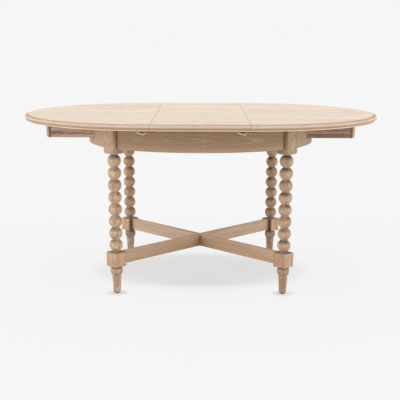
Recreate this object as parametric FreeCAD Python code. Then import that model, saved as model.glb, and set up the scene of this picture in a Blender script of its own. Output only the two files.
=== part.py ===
import FreeCAD, Part
import os
from math import cos, pi, radians, sin, sqrt

# Round extending dining table, drawn open: two half-round tops with one leaf between them.
# Millimetres. +X is the way the top extends, +Z is up, and the origin is on the floor
# under the middle of the table. The front of the table faces -Y.

# Driving sizes of the whole table
top_diameter = 1200.0
leaf_width = 400.0
table_height = 760.0
top_thickness = 26.0

# Clearances, and the length by which a cut runs past its piece
slide_gap = 0.3
running_gap = 1.0
glue_gap = 0.1
seam_gap = 0.8
cut_past = 5.0

# Moulded edge of the top, from the step at the flat down to the bead
edge_step_inset = 15.0
edge_step_depth = 2.0
ovolo_radius = 11.0
land_height = 1.0
cove_step = 2.0
cove_radius = 7.0

# Legs: one turned piece, set so that the blocks' flat faces look out along the diagonals
leg_axis_share = 0.61
block_side = 62.0
block_arris = 2.0
block_below_apron = 20.5
upper_block_rounding = 12.0
ball_count = 8
ball_end_share = 0.6
ball_radius_share = 0.553
neck_radius_share = 0.305
lower_block_bottom = 125.0
lower_block_height = 63.0
lower_block_rounding = 6.0
low_ball_below_block = 20.0
low_ball_radius = 27.0
low_groove_radius = 20.0
low_groove_width = 4.0
ankle_step = 1.0
ankle_length = 2.6
ankle_radius = 16.5
foot_ring_radius = 20.0
foot_ring_arris = 1.0
foot_ring_width = 5.0
foot_top_radius = 19.3
foot_bottom_radius = 15.5
foot_nose_rounding = 5.0

# Foot glides: a domed disc with a nail
glide_radius = 10.0
glide_height = 4.0
nail_radius = 1.5
nail_length = 16.0

# Apron: four curved boards whose outer faces follow the radius of the top
apron_set_back = 89.0
apron_thickness = 20.0
apron_below_bearers = 1.5
tenon_thickness = 10.0
tenon_depth = 20.0
tenon_shoulder = 14.0
joint_opening = 6.0
joint_opening_depth = 12.0
joint_opening_foot = 8.0

# Crossed stretcher
stretcher_thickness = 25.0
stretcher_height = 54.0
stretcher_below_block_top = 2.0
stretcher_tenon_thickness = 12.0
stretcher_tenon_depth = 22.0
stretcher_tenon_shoulder = 9.0

# Corner braces and their hanger bolts
brace_thickness = 24.0
brace_height = 60.0
brace_runner_gap = 5.0
brace_screw_from_end = 10.0
brace_screw_spacing = 34.0
bolt_radius = 4.0
bolt_depth_in_leg = 30.0
bolt_stick_out = 14.0
nut_across_flats = 13.0
nut_height = 7.0
nut_flange_radius = 9.0
nut_flange_height = 2.0

# Runners under each half, and the fixed guide rails that they slide beside
runner_share = 0.392
runner_width = 44.5
runner_height = 64.0
runner_inner_end = 5.0
cap_thickness = 10.0
rail_width = 25.0
tongue_depth = 10.0
tongue_height = 12.0
tongue_end_gap = 12.0

# Battens under the top, and stop blocks under the runners
batten_width = 50.0
batten_thickness = 20.0
half_batten_inset = 5.0
half_batten_apron_gap = 17.0
leaf_batten_edge_gap = 55.0
leaf_batten_apron_gap = 17.0
stop_height = 17.0
stop_gap = 0.5

# Cross bearers under the guide rails: a stop block takes one third of the room beside the
# legs, and the bearer takes the rest
bearer_leg_gap = 26.0
stop_share = 1 / 3
bearer_height = 29.0
bearer_housing = 6.0

# Wood screws, one pattern in several lengths
screw_shank_radius = 2.25
screw_head_radius = 4.5
screw_head_height = 3.0
screw_tip_height = 6.0
runner_screw_length = 55.0
runner_screw_bore_radius = 5.5
runner_screw_bore_depth = 28.0
runner_screw_inset = 17.0
runner_screw_from_end = 50.0
runner_screw_count = 3
batten_screw_length = 35.0
half_batten_screw_from_end = 55.0
leaf_batten_screw_pitch = 200.0
stop_screw_length = 40.0
bearer_screw_length = 55.0
bearer_screw_share = 0.25
tongue_screw_length = 32.0
tongue_screw_past_bearer = 23.0
brace_screw_length = 36.0
lap_screw_length = 45.0

# Locating dowels in the seams
dowel_radius = 5.0
dowel_set = 18.0
dowel_reach = 12.0
dowel_hole_spare = 2.0
dowel_chamfer = 1.5
dowel_from_edge = 180.0
dowel_inner_place = 140.0

# Catches under the seams
catch_from_edge = 26.0
catch_half_width = 8.0
plate_thickness = 1.5
plate_corner_radius = 2.0
plate_near = 12.0
plate_far = 56.0
pivot_from_seam = 34.0
pivot_radius = 2.5
rivet_head_radius = 4.0
rivet_head_height = 4.2
lever_thickness = 2.0
lever_half_width = 6.0
lever_tail_from_seam = 52.0
lever_end_past_stud = 8.0
lever_gap = 0.3
lever_bore_gap = 0.06
stud_from_seam = 12.0
stud_radius = 2.3
stud_head_radius = 3.8
stud_head_height = 1.2
hook_slot_gap = 0.5
keeper_near = 4.0
keeper_far = 34.0
tab_thickness = 2.0
tab_half_width = 8.0
tab_tip_from_seam = 25.0
tab_tip_drop = 16.0
tab_lip_from_seam = 14.0
tab_lip_drop = 8.5
catch_screw_length = 12.0
catch_screw_shank_radius = 1.25
catch_screw_head_radius = 2.6
catch_screw_head_height = 1.2
catch_screw_tip_height = 2.5
catch_screw_inset = 6.0
keeper_screw_pitch = 8.0

# Heights and places that follow from the sizes above
top_radius = top_diameter / 2
leg_axis_from_middle = top_radius * leg_axis_share
runner_outer_face = top_radius * runner_share
travel = leaf_width / 2
top_underside = table_height - top_thickness
base_top = top_underside - slide_gap
leg_radius = leg_axis_from_middle * sqrt(2)
half_block = block_side / 2
corner_reach = half_block * sqrt(2)
apron_shift = apron_set_back
apron_inner_radius = top_radius - apron_thickness
cap_inner_radius = top_radius - cap_thickness
runner_bottom = top_underside - runner_height
bearer_top = runner_bottom - running_gap
bearer_bottom = bearer_top - bearer_height
apron_bottom = bearer_bottom - apron_below_bearers
upper_block_bottom = apron_bottom - block_below_apron
lower_block_top = lower_block_bottom + lower_block_height
ball_pitch = (upper_block_bottom - lower_block_top) / (ball_count - 1 + 2 * ball_end_share)
ball_radius = ball_pitch * ball_radius_share
neck_radius = ball_pitch * neck_radius_share
first_ball_height = upper_block_bottom - ball_pitch * ball_end_share
low_ball_height = lower_block_bottom - low_ball_below_block
rail_top = top_underside - batten_thickness - slide_gap
rail_outer_face = runner_outer_face - runner_width - slide_gap
rail_inner_face = rail_outer_face - rail_width
runner_inner_face = rail_outer_face + slide_gap
tongue_middle_height = (bearer_top + rail_top) / 2
runner_inner_end_open = travel + runner_inner_end
bearer_outer_face = leg_axis_from_middle - corner_reach - bearer_leg_gap
stop_and_bearer = bearer_outer_face - stop_gap - runner_inner_end_open
stop_outer_face = runner_inner_end_open + stop_and_bearer * stop_share
bearer_inner_face = stop_outer_face + stop_gap
bearer_width = bearer_outer_face - bearer_inner_face
bearer_middle = (bearer_inner_face + bearer_outer_face) / 2
bearer_screw_spread = bearer_width * bearer_screw_share
tongue_screw_pitch = (bearer_outer_face + tongue_screw_past_bearer) / 2
notch_outer_face = runner_outer_face + running_gap
notch_inner_face = runner_inner_face - running_gap
stretcher_top = lower_block_top - stretcher_below_block_top
stretcher_bottom = stretcher_top - stretcher_height
brace_bottom = bearer_top
brace_face = leg_radius - half_block - brace_thickness
brace_clear_of_runner = runner_outer_face + brace_runner_gap
brace_half_length = brace_face - sqrt(2) * brace_clear_of_runner
dowel_height = top_underside + top_thickness / 2
dowel_outer_place = top_radius - dowel_from_edge
catch_from_middle = top_radius - catch_from_edge


def apron_face_at(across):
    """Distance of an apron's inner face from the table's middle, this far from its own middle."""
    return sqrt(apron_inner_radius ** 2 - across ** 2) - apron_shift


tongue_half_length = apron_face_at(rail_outer_face) - tongue_end_gap
half_batten_screw_spread = runner_inner_face - half_batten_screw_from_end
runner_outer_end_open = sqrt(cap_inner_radius ** 2 - runner_outer_face ** 2) - apron_shift + travel
inner_batten_middle = runner_inner_end_open + half_batten_inset + batten_width / 2
outer_batten_middle = apron_face_at(rail_outer_face) - half_batten_apron_gap - batten_width / 2
leaf_batten_edge = travel - leaf_batten_edge_gap
leaf_batten_from_middle = leaf_batten_edge - batten_width / 2
leaf_batten_half_length = apron_face_at(leaf_batten_edge) - leaf_batten_apron_gap

UP = FreeCAD.Vector(0, 0, 1)
ORIGIN = FreeCAD.Vector(0, 0, 0)
FRONT = -1
REAR = 1
LEFT = -1
RIGHT = 1
HALF_RIGHT_ANGLE = pi / 4


def vec(x, y, z):
    return FreeCAD.Vector(x, y, z)


def box(x_pair, y_pair, z_pair):
    """Block between two values of X, of Y and of Z, each pair in any order."""
    low = vec(min(x_pair), min(y_pair), min(z_pair))
    size = vec(max(x_pair), max(y_pair), max(z_pair)) - low
    return Part.makeBox(size.x, size.y, size.z, low)


def rod(start, end, radius):
    """Round bar from one point to another."""
    along = end - start
    return Part.makeCylinder(radius, along.Length, start, along)


def upright(x, y, low, high, radius):
    return rod(vec(x, y, low), vec(x, y, high), radius)


def join(solids):
    whole = solids[0].fuse(solids[1:])
    return whole.removeSplitter()


def group(solids):
    return Part.makeCompound(solids)


def turned_about_z(solid, degrees_about_z):
    turned = solid.copy()
    turned.rotate(ORIGIN, UP, degrees_about_z)
    return turned


def mirrored_y(solid):
    return solid.mirror(ORIGIN, vec(0, 1, 0))


def eased(block, radius):
    """Block with its upright edges rounded."""
    upright_edges = [edge for edge in block.Edges if edge.Vertexes[0].Point.z != edge.Vertexes[1].Point.z]
    return block.makeFillet(radius, upright_edges)


def rounding_middle(corner, radius, in_sign, up_sign):
    """Middle of a quarter round that eases a square corner, given by radius and height."""
    set_back = radius * (1 - cos(HALF_RIGHT_ANGLE))
    return (corner[0] - in_sign * set_back, corner[1] + up_sign * set_back)


def moved(solid, shift):
    copy = solid.copy()
    copy.translate(shift)
    return copy


def on_y_side(solid, side):
    """The front copy as it is, or its mirror image at the rear."""
    return solid if side == FRONT else mirrored_y(solid)


def write(name, shape):
    shape.exportStep(os.path.join("parts", name + ".step"))


# Outlines made of straight lines and arcs, each given by radius and height

def outline_edges(start, steps, place):
    """Edges from a start point through steps: a point ends a line, a pair ends an arc."""
    edges = []
    here = place(*start)
    for step in steps:
        if isinstance(step[0], tuple):
            middle = place(*step[0])
            end = place(*step[1])
            edges.append(Part.Arc(here, middle, end).toShape())
        else:
            end = place(*step)
            edges.append(Part.LineSegment(here, end).toShape())
        here = end
    return edges


def in_xz(radius, height):
    return vec(radius, 0, height)


def turning(start, steps):
    """Solid of revolution about Z from an outline that starts and ends on the axis."""
    edges = outline_edges(start, steps + [start], in_xz)
    return Part.Face(Part.Wire(edges)).revolve(ORIGIN, UP, 360)


def wood_screw(head_place, direction, length, gap=0.0):
    """Countersunk screw: flat head at head_place, shank and point along direction."""
    shank = screw_shank_radius + gap
    head = screw_head_radius + gap
    steps = [
        (head, 0),
        (shank, screw_head_height),
        (shank, length - screw_tip_height),
        (0, length + gap),
    ]
    solid = turning((0, 0), steps)
    solid.Placement = FreeCAD.Placement(head_place, FreeCAD.Rotation(UP, direction))
    return solid


def screwed(pieces, places, length):
    """Screws at the places, and the pieces with a hole cut for each of them."""
    screws = [wood_screw(place, direction, length) for place, direction in places]
    holes = [wood_screw(place, direction, length, glue_gap / 2) for place, direction in places]
    return screws, [piece.cut(holes) for piece in pieces]


# Moulded edge of the top, shared by the round halves and the straight leaf

def moulding_steps():
    """From the flat's step down to the underside, as radius and height."""
    z = table_height - edge_step_depth
    ovolo_top = (top_radius - ovolo_radius, z)
    ovolo_middle = rounding_middle((top_radius, z), ovolo_radius, 1, -1)
    ovolo_end = (top_radius, z - ovolo_radius)
    land_end = (top_radius, ovolo_end[1] - land_height)
    cove_start = (top_radius - cove_step, land_end[1])
    cove_end = (cove_start[0] - cove_radius, cove_start[1] - cove_radius)
    cove_middle = rounding_middle((cove_end[0], cove_start[1]), cove_radius, -1, -1)
    bead_radius = (cove_end[1] - top_underside) / 2
    bead_middle = (cove_end[0] + bead_radius, top_underside + bead_radius)
    bead_end = (cove_end[0], top_underside)
    return [
        (top_radius - edge_step_inset, z),
        ovolo_top,
        (ovolo_middle, ovolo_end),
        land_end,
        cove_start,
        (cove_middle, cove_end),
        (bead_middle, bead_end),
    ]


def dowel_places():
    return [-dowel_outer_place, -dowel_inner_place, dowel_inner_place, dowel_outer_place]


def dowel(x_face, y):
    """Dowel pointing along +X, set into the edge at x_face, with a chamfered end."""
    length = dowel_set + dowel_reach
    steps = [
        (dowel_radius, 0),
        (dowel_radius, length - dowel_chamfer),
        (dowel_radius - dowel_chamfer, length),
        (0, length),
    ]
    solid = turning((0, 0), steps)
    along_x = FreeCAD.Rotation(UP, vec(1, 0, 0))
    solid.Placement = FreeCAD.Placement(vec(x_face - dowel_set, y, dowel_height), along_x)
    return solid


def dowel_sockets(x_face):
    """Glued holes for dowels in the edge at x_face, into the piece on its -X side."""
    return [rod(vec(x_face - dowel_set - glue_gap, y, dowel_height),
                vec(x_face + cut_past, y, dowel_height), dowel_radius + glue_gap / 2)
            for y in dowel_places()]


def dowel_holes(x_face):
    """Loose holes in the edge at x_face that take the dowels of the piece on its -X side."""
    depth = dowel_reach + dowel_hole_spare
    return [rod(vec(x_face - cut_past, y, dowel_height),
                vec(x_face + depth, y, dowel_height), dowel_radius + slide_gap)
            for y in dowel_places()]


def half_panel():
    """Half disc on the left, its straight edge half a seam gap outside the leaf's place."""
    start = (0, table_height)
    steps = [(top_radius - edge_step_inset, table_height)]
    steps += moulding_steps() + [(0, top_underside), start]
    face = Part.Face(Part.Wire(outline_edges(start, steps, in_xz)))
    face.rotate(ORIGIN, UP, 90)
    disc_half = face.revolve(ORIGIN, UP, 180)
    disc_half.translate(vec(-travel, 0, 0))
    slit = box((-travel - seam_gap / 2, 0), (-top_diameter, top_diameter), (0, 2 * table_height))
    return disc_half.cut(slit)


def leaf_panel():
    def front(radius, height):
        return vec(-travel + seam_gap / 2, -radius, height)

    def rear(radius, height):
        return vec(-travel + seam_gap / 2, radius, height)

    start = (top_radius - edge_step_inset, table_height)
    front_edges = outline_edges(start, moulding_steps(), front)
    rear_edges = outline_edges(start, moulding_steps(), rear)
    top_line = Part.LineSegment(front(*start), rear(*start)).toShape()
    bottom = moulding_steps()[-1][1]
    bottom_line = Part.LineSegment(front(*bottom), rear(*bottom)).toShape()
    edges = Part.sortEdges(front_edges + rear_edges + [top_line, bottom_line])[0]
    return Part.Face(Part.Wire(edges)).extrude(vec(leaf_width - seam_gap, 0, 0))


# Legs, each in its own frame: the leg's axis on Z, the outward diagonal along +X

def leg_to_place(solid, angle):
    """From a leg's own frame to its corner of the table."""
    placed = moved(solid, vec(leg_radius, 0, 0))
    placed.rotate(ORIGIN, UP, angle)
    return placed


def leg_angles():
    return {"front_left": 225, "front_right": 315, "rear_left": 135, "rear_right": 45}


def square_block(low, high):
    return eased(box((-half_block, half_block), (-half_block, half_block), (low, high)), block_arris)


def ball_steps(middle):
    """Down one ball, from the neck above it to the neck below it."""
    half_height = sqrt(ball_radius ** 2 - neck_radius ** 2)
    return [(neck_radius, middle + half_height),
            ((ball_radius, middle), (neck_radius, middle - half_height))]


def spindle():
    """The turned part from the upper block down to the nose of the foot."""
    upper_end = upper_block_bottom + upper_block_rounding
    groove_bottom = lower_block_bottom - low_groove_width
    ball_top_radius = sqrt(low_ball_radius ** 2 - (groove_bottom - low_ball_height) ** 2)
    ball_foot_radius = ankle_radius + ankle_step
    ball_foot_height = low_ball_height - sqrt(low_ball_radius ** 2 - ball_foot_radius ** 2)
    ankle_bottom = ball_foot_height - ankle_length
    nose_corner = (foot_bottom_radius, glide_height)
    steps = [(neck_radius, upper_end)]
    for number in range(ball_count):
        steps += ball_steps(first_ball_height - number * ball_pitch)
    steps += [
        (neck_radius, lower_block_top),
        (low_groove_radius, lower_block_top),
        (low_groove_radius, groove_bottom),
        (ball_top_radius, groove_bottom),
        ((low_ball_radius, low_ball_height), (ball_foot_radius, ball_foot_height)),
        (ankle_radius, ball_foot_height),
        (ankle_radius, ankle_bottom),
        (foot_ring_radius - foot_ring_arris, ankle_bottom),
        (foot_ring_radius, ankle_bottom - foot_ring_arris),
        (foot_ring_radius, ankle_bottom - foot_ring_width),
        (foot_top_radius, ankle_bottom - 2 * foot_ring_width),
        (foot_bottom_radius, glide_height + foot_nose_rounding),
        (rounding_middle(nose_corner, foot_nose_rounding, 1, 1),
         (foot_bottom_radius - foot_nose_rounding, glide_height)),
        (0, glide_height),
    ]
    return turning((0, upper_end), steps)


def rounded_shoulders(low, high, low_rounding, high_rounding):
    """Turned body whose shoulders round off the corners of a square block."""
    steps = [(corner_reach - low_rounding, low)]
    if low_rounding > 0:
        steps.append((rounding_middle((corner_reach, low), low_rounding, 1, 1),
                      (corner_reach, low + low_rounding)))
    steps.append((corner_reach, high - high_rounding))
    if high_rounding > 0:
        steps.append((rounding_middle((corner_reach, high), high_rounding, 1, -1),
                      (corner_reach - high_rounding, high)))
    steps.append((0, high))
    return turning((0, low), steps)


def apron_end_at(radius):
    """How far to the side the arc of this radius in the front apron meets a block's side face."""
    drop = corner_reach + apron_shift
    return (sqrt(2 * radius ** 2 - drop ** 2) - drop) / 2


def apron_tenon_place():
    """Where the apron's mid line meets a block's side face, along the leg's diagonal."""
    x = apron_end_at(top_radius - apron_thickness / 2)
    y = -corner_reach - x
    return (x - y) / sqrt(2) - leg_radius


def apron_tenon(side, gap):
    """Tenon in a leg's frame, in the block's face on one side (+1 or -1 along Y)."""
    middle = apron_tenon_place()
    half = tenon_thickness / 2 + gap
    face = half_block * side
    deep = (half_block - tenon_depth - gap) * side
    root = face + (joint_opening + glue_gap) * side
    return box((middle - half, middle + half), (root, deep),
               (apron_bottom + tenon_shoulder - gap, base_top - tenon_shoulder + gap))


def stretcher_tenon(gap):
    half = stretcher_tenon_thickness / 2 + gap
    return box((-half_block - glue_gap, -half_block + stretcher_tenon_depth + gap), (-half, half),
               (stretcher_bottom + stretcher_tenon_shoulder - gap,
                stretcher_top - stretcher_tenon_shoulder + gap))


def bolt_height():
    return brace_bottom + brace_height / 2


def hanger_bolt(gap):
    return rod(vec(-half_block - brace_thickness - bolt_stick_out, 0, bolt_height()),
               vec(-half_block + bolt_depth_in_leg, 0, bolt_height()), bolt_radius + gap)


def flange_nut():
    face = -half_block - brace_thickness
    flange = rod(vec(face, 0, bolt_height()), vec(face - nut_flange_height, 0, bolt_height()),
                 nut_flange_radius)
    corner = nut_across_flats / sqrt(3)
    corners = [vec(face, corner * cos(radians(60 * n)), bolt_height() + corner * sin(radians(60 * n)))
               for n in range(7)]
    hexagon = Part.Face(Part.makePolygon(corners)).extrude(vec(-nut_height, 0, 0))
    return join([flange, hexagon]).cut(hanger_bolt(glue_gap / 2))


def leg():
    upper = square_block(upper_block_bottom, base_top).common(
        rounded_shoulders(upper_block_bottom, base_top, upper_block_rounding, 0))
    lower = square_block(lower_block_bottom, lower_block_top).common(
        rounded_shoulders(lower_block_bottom, lower_block_top, lower_block_rounding,
                          lower_block_rounding))
    body = join([upper, lower, spindle()])
    nail = upright(0, 0, 0, glide_height + nail_length, nail_radius + glue_gap / 2)
    return body.cut([apron_tenon(1, glue_gap), apron_tenon(-1, glue_gap),
                     stretcher_tenon(glue_gap), hanger_bolt(glue_gap / 2), nail])


def foot_glide():
    steps = [
        (glide_radius - glide_height, 0),
        (rounding_middle((glide_radius, 0), glide_height, 1, 1), (glide_radius, glide_height)),
        (nail_radius, glide_height),
        (nail_radius, glide_height + nail_length - nail_radius),
        (0, glide_height + nail_length),
    ]
    return turning((0, 0), steps)


# Apron, drawn as the front segment and turned to the other sides

def arc_column(radius, low, high, shift_x=0.0, shift_y=apron_shift):
    return upright(shift_x, shift_y, low, high, radius)


def between_legs(low, high):
    """Wedge of space in front, between the side faces of the two front leg blocks."""
    near = corner_reach
    far = top_diameter
    corners = [vec(0, -near, low), vec(far, -near - far, low), vec(-far, -near - far, low),
               vec(0, -near, low)]
    return Part.Face(Part.makePolygon(corners)).extrude(vec(0, 0, high - low))


def joint_openings():
    """V cuts at the front board's ends, open at its outer face, where it meets the leg blocks."""
    outer_end = apron_end_at(top_radius)
    slope = joint_opening / joint_opening_depth
    low = apron_bottom + joint_opening_foot
    high = base_top + cut_past
    cuts = []
    for side in (LEFT, RIGHT):
        into_board = vec(-side, -1, 0) / sqrt(2)
        inward = vec(-side, 1, 0) / sqrt(2)
        lip = vec(side * outer_end, -corner_reach - outer_end, low) - inward * cut_past
        open_width = joint_opening + slope * cut_past
        corners = [lip - into_board * cut_past, lip + into_board * open_width,
                   lip + inward * (joint_opening_depth + cut_past),
                   lip + inward * (joint_opening_depth + cut_past) - into_board * cut_past,
                   lip - into_board * cut_past]
        cuts.append(Part.Face(Part.makePolygon(corners)).extrude(vec(0, 0, high - low)))
    return cuts


def apron_segment():
    ring = arc_column(top_radius, apron_bottom, base_top).cut(
        arc_column(apron_inner_radius, apron_bottom - cut_past, base_top + cut_past))
    board = ring.common(between_legs(apron_bottom, base_top)).cut(joint_openings())
    tenons = [leg_to_place(apron_tenon(1, 0), 225), leg_to_place(apron_tenon(-1, 0), 315)]
    return board, tenons


def inside_apron(radius, low, high):
    """Space inside the side aprons' arcs of the given radius."""
    right = upright(-apron_shift, 0, low, high, radius)
    left = upright(apron_shift, 0, low, high, radius)
    return left.common(right)


def brace():
    """Corner brace in a leg's frame, scribed to the aprons and cut back where the runners pass."""
    slab = box((-half_block - brace_thickness, -half_block), (-leg_radius, leg_radius),
               (brace_bottom, brace_bottom + brace_height))
    placed = leg_to_place(slab, 225)
    front_space = arc_column(apron_inner_radius, apron_bottom, base_top)
    left_space = upright(apron_shift, 0, apron_bottom, base_top, apron_inner_radius)
    beside_runners = box((-top_radius, -brace_clear_of_runner), (-top_radius, -brace_clear_of_runner),
                         (apron_bottom, base_top))
    scribed = placed.common(front_space).common(left_space).common(beside_runners)
    back = scribed.copy()
    back.rotate(ORIGIN, UP, -225)
    back.translate(vec(-leg_radius, 0, 0))
    return back


def brace_screw_places():
    low = bolt_height() - brace_screw_spacing / 2
    across = brace_half_length - brace_screw_from_end
    return [(vec(-half_block - brace_thickness, side * across, low + level * brace_screw_spacing),
             vec(1, 0, 0))
            for side in (-1, 1) for level in (0, 1)]


# Sliding gear

def guide_rail():
    """Front guide rail: the runner slides beside its outer face."""
    length = top_diameter
    blank = box((-length, length), (-rail_inner_face, -rail_outer_face), (bearer_top, rail_top))
    return blank.common(inside_apron(apron_inner_radius, bearer_top, rail_top))


def tongue():
    half = tongue_height / 2
    return box((-tongue_half_length, tongue_half_length),
               (-rail_outer_face, -rail_outer_face - tongue_depth),
               (tongue_middle_height - half, tongue_middle_height + half))


def tongue_screw_places():
    return [(vec(step * tongue_screw_pitch, -rail_inner_face, tongue_middle_height), vec(0, -1, 0))
            for step in (-2, -1, 0, 1, 2)]


def bearer():
    """Left cross bearer, its ends let into the front and rear aprons."""
    radius = apron_inner_radius + bearer_housing
    front_space = arc_column(radius, bearer_bottom, bearer_top)
    rear_space = arc_column(radius, bearer_bottom, bearer_top, 0.0, -apron_shift)
    blank = box((-bearer_outer_face, -bearer_inner_face),
                (-top_radius, top_radius), (bearer_bottom, bearer_top))
    return blank.common(front_space).common(rear_space)


def bearer_screw_places(side_x):
    middle = (rail_inner_face + rail_outer_face) / 2
    return [(vec(side_x * bearer_middle + shift, side_y * middle, bearer_bottom), vec(0, 0, 1))
            for side_y in (FRONT, REAR) for shift in (-bearer_screw_spread, bearer_screw_spread)]


def bearer_housings():
    """Hollows for the bearers' ends in the front apron."""
    return [box((side * (bearer_inner_face - glue_gap), side * (bearer_outer_face + glue_gap)),
                (0, -top_radius), (bearer_bottom - glue_gap, bearer_top + glue_gap)).common(
                    arc_column(apron_inner_radius + bearer_housing + glue_gap, apron_bottom, base_top))
            for side in (LEFT, RIGHT)]


def notch(side_y):
    """Opening in the left apron for a runner."""
    return box((-top_radius, 0), (side_y * notch_inner_face, side_y * notch_outer_face),
               (bearer_top, base_top + cut_past))


def cap_on_left():
    """Front left end cap: it fills the apron's notch when the half is pushed in."""
    outer = upright(apron_shift, 0, runner_bottom, top_underside, top_radius)
    inner = upright(apron_shift, 0, runner_bottom - cut_past, top_underside + cut_past, cap_inner_radius)
    piece = outer.cut(inner).common(
        box((-top_radius, 0), (-runner_outer_face, -runner_inner_face), (runner_bottom, top_underside)))
    return moved(piece, vec(-travel, 0, 0))


def runner_on_left():
    """Front left runner, grooved for the tongue, scribed to the back of its end cap."""
    space = upright(apron_shift - travel, 0, runner_bottom, top_underside, cap_inner_radius)
    blank = box((-top_radius - travel, -runner_inner_end_open),
                (-runner_outer_face, -runner_inner_face), (runner_bottom, top_underside))
    blank = blank.common(space)
    half = tongue_height / 2 + slide_gap
    groove = box((-top_diameter, 0),
                 (-rail_outer_face - tongue_depth - 2 * slide_gap, 0),
                 (tongue_middle_height - half, tongue_middle_height + half))
    return blank.cut(groove)


def stop_block_on_left():
    return box((-stop_outer_face, -runner_inner_end_open), (-runner_outer_face, -runner_inner_face),
               (runner_bottom - stop_height, runner_bottom))


def runner_screw_y():
    return -runner_outer_face + runner_screw_inset


def runner_screw_places():
    first = runner_inner_end_open + runner_screw_from_end
    pitch = (runner_outer_end_open - runner_screw_from_end - first) / (runner_screw_count - 1)
    return [(vec(-first - step * pitch, runner_screw_y(), runner_bottom + runner_screw_bore_depth),
             vec(0, 0, 1))
            for step in range(runner_screw_count)]


def runner_screw_bores():
    return [rod(place - vec(0, 0, runner_screw_bore_depth + cut_past), place, runner_screw_bore_radius)
            for place, direction in runner_screw_places()]


def stop_screw_place():
    middle = (stop_outer_face + runner_inner_end_open) / 2
    return [(vec(-middle, runner_screw_y(), runner_bottom - stop_height), vec(0, 0, 1))]


def batten(middle_x, half_length):
    return box((middle_x - batten_width / 2, middle_x + batten_width / 2), (-half_length, half_length),
               (top_underside - batten_thickness, top_underside))


def batten_screw_places(middle_x, places_y):
    return [(vec(middle_x, y, top_underside - batten_thickness), vec(0, 0, 1)) for y in places_y]


# Catches, drawn at the front with the seam on X = 0 and the lever's side on -X

def catch_z(drop):
    return top_underside - drop


def small_screw(x, y, drop, gap=0.0):
    shank = catch_screw_shank_radius + gap
    steps = [
        (catch_screw_head_radius + gap, 0),
        (shank, catch_screw_head_height),
        (shank, catch_screw_length - catch_screw_tip_height),
        (0, catch_screw_length + gap),
    ]
    return moved(turning((0, 0), steps), vec(x, y, catch_z(drop)))


def plate_blank(near, far):
    y = -catch_from_middle
    plate = box((near, far), (y - catch_half_width, y + catch_half_width),
                (catch_z(plate_thickness), catch_z(0)))
    return eased(plate, plate_corner_radius)


def headed_stud(x, radius, head_radius, head_height, neck_drop):
    y = -catch_from_middle
    neck = upright(x, y, catch_z(neck_drop), catch_z(plate_thickness / 2), radius)
    head = upright(x, y, catch_z(neck_drop + head_height), catch_z(neck_drop), head_radius)
    return [neck, head]


def stud_neck_drop():
    return plate_thickness + lever_thickness + 2 * lever_gap


def catch_plate():
    """Base plate with the riveted pivot of its lever."""
    pivot = headed_stud(-pivot_from_seam, pivot_radius, rivet_head_radius, rivet_head_height,
                        stud_neck_drop())
    return join([plate_blank(-plate_near, -plate_far)] + pivot)


def keeper_plate():
    stud = headed_stud(stud_from_seam, stud_radius, stud_head_radius, stud_head_height, stud_neck_drop())
    return join([plate_blank(keeper_near, keeper_far)] + stud)


def plate_screw_places():
    return [-plate_near - catch_screw_inset, -plate_far + catch_screw_inset]


def keeper_screw_places():
    last = keeper_far - catch_screw_inset
    return [last - keeper_screw_pitch, last]


def tab_strip():
    """Finger tab folded under the lever's tail: down to a tip, then up to a lip."""
    y = -catch_from_middle
    under = plate_thickness + lever_gap + lever_thickness
    thick = tab_thickness
    tail = -lever_tail_from_seam
    points = [
        (tail, under - lever_thickness / 2),
        (tail + thick, under - lever_thickness / 2),
        (tail + thick, under + thick),
        (-tab_tip_from_seam, tab_tip_drop - thick),
        (-tab_lip_from_seam, tab_lip_drop - thick),
        (-tab_lip_from_seam, tab_lip_drop),
        (-tab_tip_from_seam, tab_tip_drop),
        (tail, under + 2 * thick),
        (tail, under - lever_thickness / 2),
    ]
    corners = [vec(x, y - tab_half_width, catch_z(drop)) for x, drop in points]
    return Part.Face(Part.makePolygon(corners)).extrude(vec(0, 2 * tab_half_width, 0))


def catch_lever():
    y = -catch_from_middle
    top_drop = plate_thickness + lever_gap
    low = catch_z(top_drop + lever_thickness)
    high = catch_z(top_drop)
    end_middle = stud_from_seam + lever_end_past_stud - lever_half_width
    bar = box((-lever_tail_from_seam, end_middle), (y - lever_half_width, y + lever_half_width), (low, high))
    bar = join([bar, upright(end_middle, y, low, high, lever_half_width)])
    reach = pivot_from_seam + stud_from_seam
    slot = stud_radius + hook_slot_gap
    ring = upright(-pivot_from_seam, y, low - cut_past, high + cut_past, reach + slot).cut(
        upright(-pivot_from_seam, y, low - 2 * cut_past, high + 2 * cut_past, reach - slot))
    outer_side = box((0, top_radius), (y, -top_radius - travel), (0, table_height))
    round_end = upright(stud_from_seam, y, low - cut_past, high + cut_past, slot)
    bore = upright(-pivot_from_seam, y, low - cut_past, high + cut_past, pivot_radius + lever_bore_gap)
    bar = bar.cut([ring.common(outer_side), round_end, bore])
    return join([bar, tab_strip()])


# Building and writing the pieces

os.makedirs("parts", exist_ok=True)

base_screws = []

# Legs and glides
leg_blank = leg()
for place, angle in leg_angles().items():
    write(place + "_leg", leg_to_place(leg_blank, angle))
glide = foot_glide()
write("foot_glides", group([leg_to_place(glide, angle) for angle in leg_angles().values()]))

# Corner braces, with the aprons' screw holes cut at the same places
brace_screws, brace_cut = screwed([brace()], brace_screw_places(), brace_screw_length)
brace_piece = brace_cut[0].cut(hanger_bolt(glue_gap / 2))
for place, angle in leg_angles().items():
    own = brace_piece if angle in (225, 45) else mirrored_y(brace_piece)
    write(place + "_corner_brace", leg_to_place(own, angle))
    base_screws += [leg_to_place(screw, angle) for screw in brace_screws]
write("hanger_bolts", group([leg_to_place(hanger_bolt(0), angle) for angle in leg_angles().values()]))
write("hanger_bolt_nuts", group([leg_to_place(flange_nut(), angle) for angle in leg_angles().values()]))

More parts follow.
